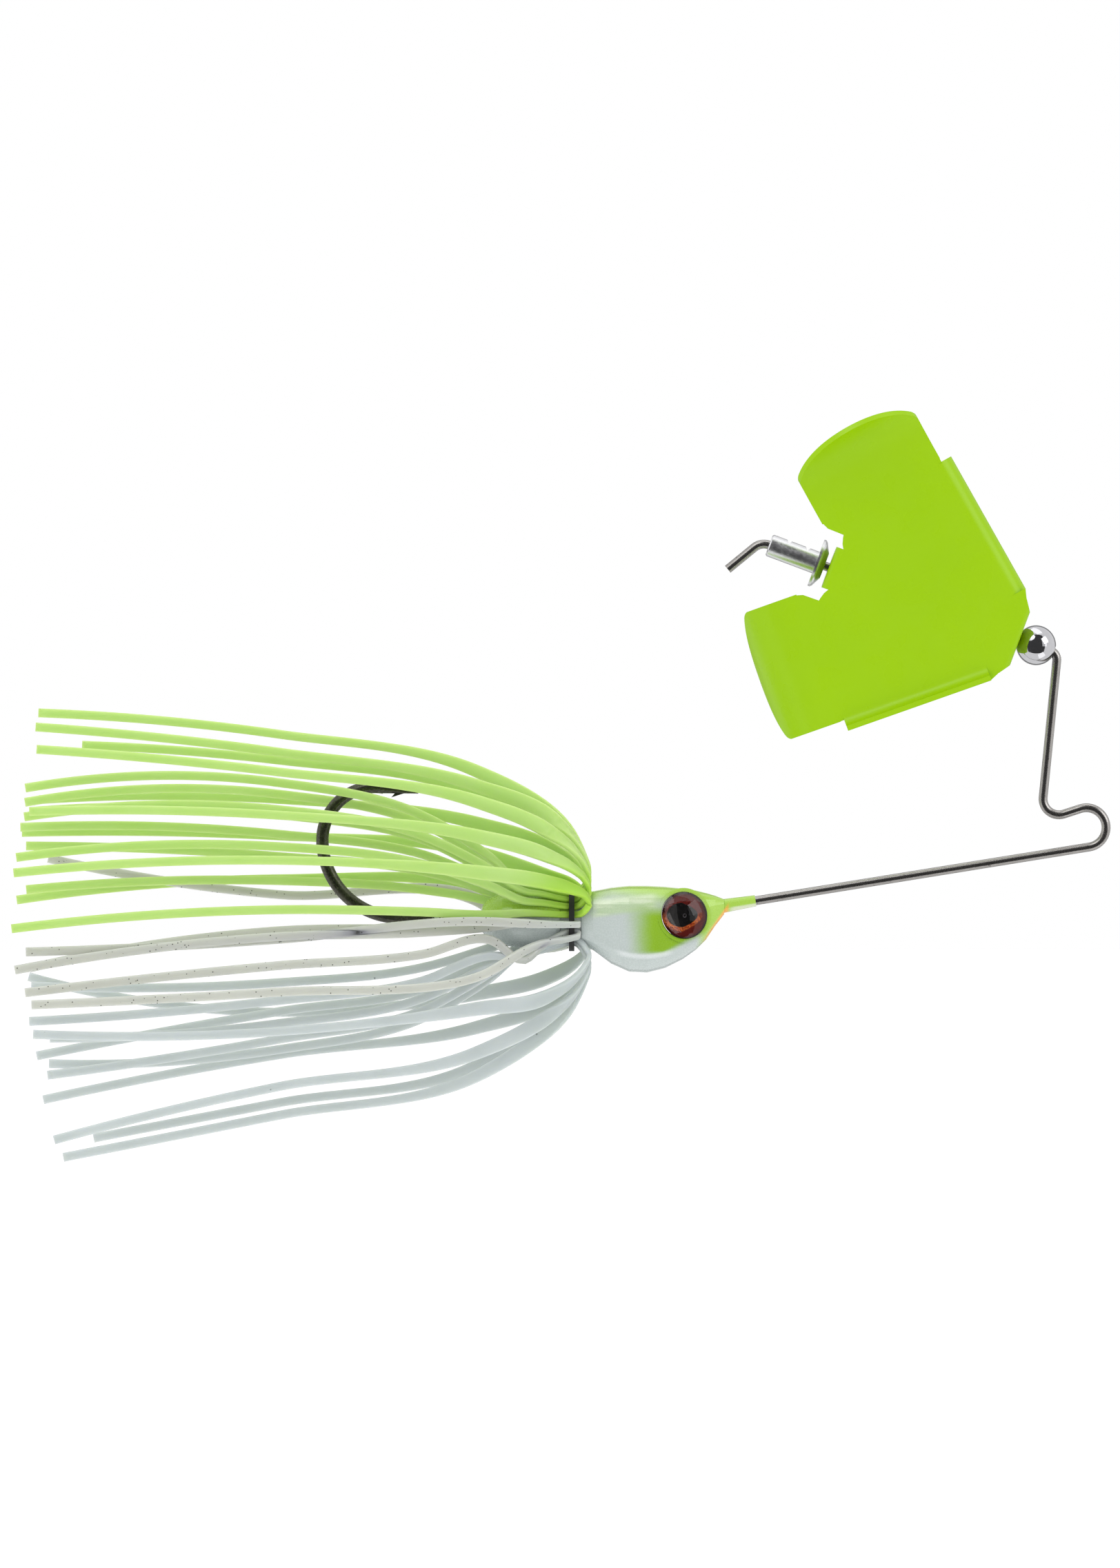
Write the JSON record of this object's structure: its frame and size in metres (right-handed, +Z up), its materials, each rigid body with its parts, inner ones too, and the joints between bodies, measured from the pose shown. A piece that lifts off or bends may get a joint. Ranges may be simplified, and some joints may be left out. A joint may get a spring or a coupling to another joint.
{
  "type": "spinnerbait",
  "caption": "Fishing lure with a lead head cast round a hook and a bent wire arm, a folded double-wing blade that spins on the arm between a bead and a rivet, and a silicone skirt.",
  "frame": {"origin": "centre of the line tie bend's arc, in the plane of the wire", "axes": "+X away from the skirt along the lure, +Z up, +Y to the lure's left; the wire and the hook lie in the plane y = 0"},
  "size_m": [0.1226, 0.026, 0.0837],
  "materials": {
    "stainless_wire": "polished",
    "bead_chrome": "polished",
    "blade_paint": "gloss",
    "rivet_aluminium": "satin",
    "head_paint": "gloss",
    "black_nickel": "polished",
    "eye_foil": "gloss",
    "eye_resin": "gloss",
    "band_rubber": "matte",
    "silicone_chartreuse": "satin",
    "silicone_speckled": "satin",
    "silicone_pearl": "satin"
  },
  "bodies": {
    "frame": {"wire_frame": "stainless_wire", "rivet": "rivet_aluminium", "head_casting": "head_paint", "hook": "black_nickel", "eye_disc_right": "eye_foil", "eye_disc_left": "eye_foil", "eye_dome_right": "eye_resin", "eye_dome_left": "eye_resin", "skirt_band": "band_rubber", "skirt_strand_01": "silicone_chartreuse", "skirt_strand_02": "silicone_chartreuse", "skirt_strand_03": "silicone_chartreuse", "skirt_strand_04": "silicone_chartreuse", "skirt_strand_05": "silicone_chartreuse", "skirt_strand_06": "silicone_chartreuse", "skirt_strand_07": "silicone_chartreuse", "skirt_strand_08": "silicone_chartreuse", "skirt_strand_09": "silicone_chartreuse", "skirt_strand_10": "silicone_speckled", "skirt_strand_11": "silicone_pearl", "skirt_strand_12": "silicone_pearl", "skirt_strand_13": "silicone_pearl", "skirt_strand_14": "silicone_pearl", "skirt_strand_15": "silicone_pearl", "skirt_strand_16": "silicone_pearl", "skirt_strand_17": "silicone_speckled", "skirt_strand_18": "silicone_speckled"},
    "bead": {"bead": "bead_chrome"},
    "blade": {"blade": "blade_paint"}
  },
  "joints": [
    {"name": "bead_float", "type": "slide", "parent": "frame", "child": "bead", "axis": [-0.9361, 0, 0.3518], "range_m": [0, 0.0005]},
    {"name": "blade_spin", "type": "hinge", "parent": "bead", "child": "blade", "pos_m": [-0.00562, 0, 0.02032], "axis": [-0.9361, 0, 0.3518], "continuous": true}
  ]
}
